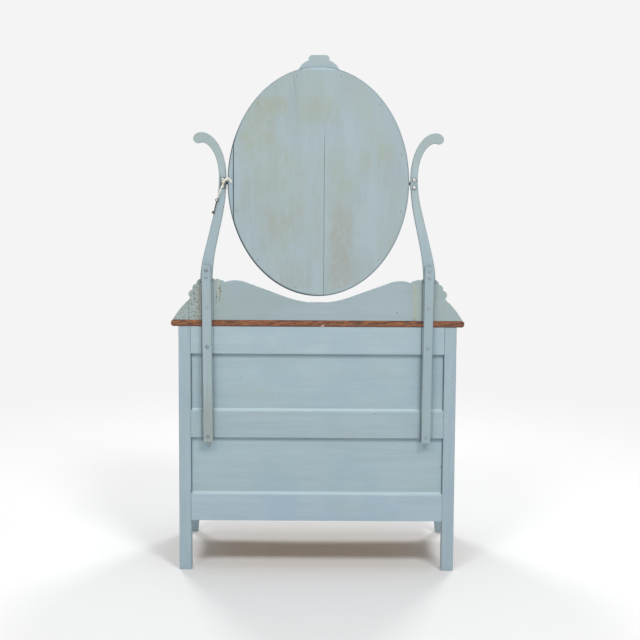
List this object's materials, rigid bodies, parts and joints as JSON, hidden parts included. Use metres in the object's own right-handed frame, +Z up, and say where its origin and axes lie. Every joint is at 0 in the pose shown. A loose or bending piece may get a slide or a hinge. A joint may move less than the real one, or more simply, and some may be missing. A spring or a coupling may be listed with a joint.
{
  "type": "dresser with mirror",
  "caption": "Chest of drawers with a shaped backboard and an oval mirror that tilts between two scrolled arms.",
  "frame": {"origin": "middle of the whole footprint at floor level", "axes": "+Z up from the floor; -Y out of the front, where the drawers are; +X to the right of a person facing the drawers"},
  "size_m": [1.016, 0.5326, 1.7975],
  "materials": {
    "blue_paint": "worn grey-blue milk paint",
    "blue_stain": "worn grey-blue milk paint",
    "oak_top": "red-brown varnish on oak",
    "raw_wood": "bare poplar",
    "knob_wood": "varnished turned wood",
    "mirror_glass": "silvered glass",
    "steel_hardware": "dull plated steel",
    "brass_lock": "old brass",
    "iron_key": "dark iron",
    "cotton_tape": "unbleached woven cotton"
  },
  "bodies": {
    "case": {"arm_brackets": "steel_hardware", "back_panel_lower": "blue_stain", "back_panel_upper": "blue_stain", "back_rail_bottom": "blue_paint", "back_rail_middle": "blue_paint", "back_rail_top": "blue_paint", "backsplash": "blue_paint", "batten_left": "blue_paint", "batten_right": "blue_paint", "drawer_divider": "blue_paint", "drawer_runners": "raw_wood", "front_apron": "blue_paint", "front_post_left": "blue_paint", "front_post_right": "blue_paint", "front_rails": "blue_paint", "key": "iron_key", "key_tape": "cotton_tape", "mirror_arm_left": "blue_paint", "mirror_arm_right": "blue_paint", "rear_post_left": "blue_paint", "rear_post_right": "blue_paint", "side_panels": "blue_paint", "side_rails": "blue_paint", "stand_screws": "steel_hardware", "top_board": "oak_top"},
    "mirror": {"mirror_frame": "blue_paint", "mirror_glass": "mirror_glass", "backboard_left": "blue_paint", "backboard_right": "blue_paint", "mirror_crest": "blue_paint", "backboard_nails": "steel_hardware", "swivel_plates": "steel_hardware"},
    "low_drawer": {"low_drawer_front": "blue_paint", "low_drawer_sides": "raw_wood", "low_drawer_back": "raw_wood", "low_drawer_bottom": "raw_wood", "low_drawer_knobs": "knob_wood", "low_drawer_lock": "brass_lock"},
    "middle_drawer": {"middle_drawer_front": "blue_paint", "middle_drawer_sides": "raw_wood", "middle_drawer_back": "raw_wood", "middle_drawer_bottom": "raw_wood", "middle_drawer_knobs": "knob_wood", "middle_drawer_lock": "brass_lock"},
    "small_drawer_left": {"small_drawer_left_front": "blue_paint", "small_drawer_left_sides": "raw_wood", "small_drawer_left_back": "raw_wood", "small_drawer_left_bottom": "raw_wood", "small_drawer_left_knobs": "knob_wood", "small_drawer_left_lock": "brass_lock"},
    "small_drawer_right": {"small_drawer_right_front": "blue_paint", "small_drawer_right_sides": "raw_wood", "small_drawer_right_back": "raw_wood", "small_drawer_right_bottom": "raw_wood", "small_drawer_right_knobs": "knob_wood", "small_drawer_right_lock": "brass_lock"},
    "low_drawer_lock_bolt": {"low_drawer_bolt": "brass_lock"},
    "middle_drawer_lock_bolt": {"middle_drawer_bolt": "brass_lock"},
    "small_drawer_left_lock_bolt": {"small_drawer_left_bolt": "brass_lock"},
    "small_drawer_right_lock_bolt": {"small_drawer_right_bolt": "brass_lock"}
  },
  "joints": [
    {"name": "mirror_tilt", "type": "hinge", "parent": "case", "child": "mirror", "pos_m": [0, 0.22975, 1.3625], "axis": [1, 0, 0], "range_deg": [-25, 25]},
    {"name": "low_drawer_slide", "type": "slide", "parent": "case", "child": "low_drawer", "axis": [0, -1, 0], "range_m": [0, 0.35]},
    {"name": "middle_drawer_slide", "type": "slide", "parent": "case", "child": "middle_drawer", "axis": [0, -1, 0], "range_m": [0, 0.35]},
    {"name": "small_drawer_left_slide", "type": "slide", "parent": "case", "child": "small_drawer_left", "axis": [0, -1, 0], "range_m": [0, 0.35]},
    {"name": "small_drawer_right_slide", "type": "slide", "parent": "case", "child": "small_drawer_right", "axis": [0, -1, 0], "range_m": [0, 0.35]},
    {"name": "low_drawer_bolt_throw", "type": "slide", "parent": "low_drawer", "child": "low_drawer_lock_bolt", "axis": [0, 0, 1], "range_m": [0, 0.008]},
    {"name": "middle_drawer_bolt_throw", "type": "slide", "parent": "middle_drawer", "child": "middle_drawer_lock_bolt", "axis": [0, 0, 1], "range_m": [0, 0.008]},
    {"name": "small_drawer_left_bolt_throw", "type": "slide", "parent": "small_drawer_left", "child": "small_drawer_left_lock_bolt", "axis": [0, 0, 1], "range_m": [0, 0.008]},
    {"name": "small_drawer_right_bolt_throw", "type": "slide", "parent": "small_drawer_right", "child": "small_drawer_right_lock_bolt", "axis": [0, 0, 1], "range_m": [0, 0.008]}
  ]
}
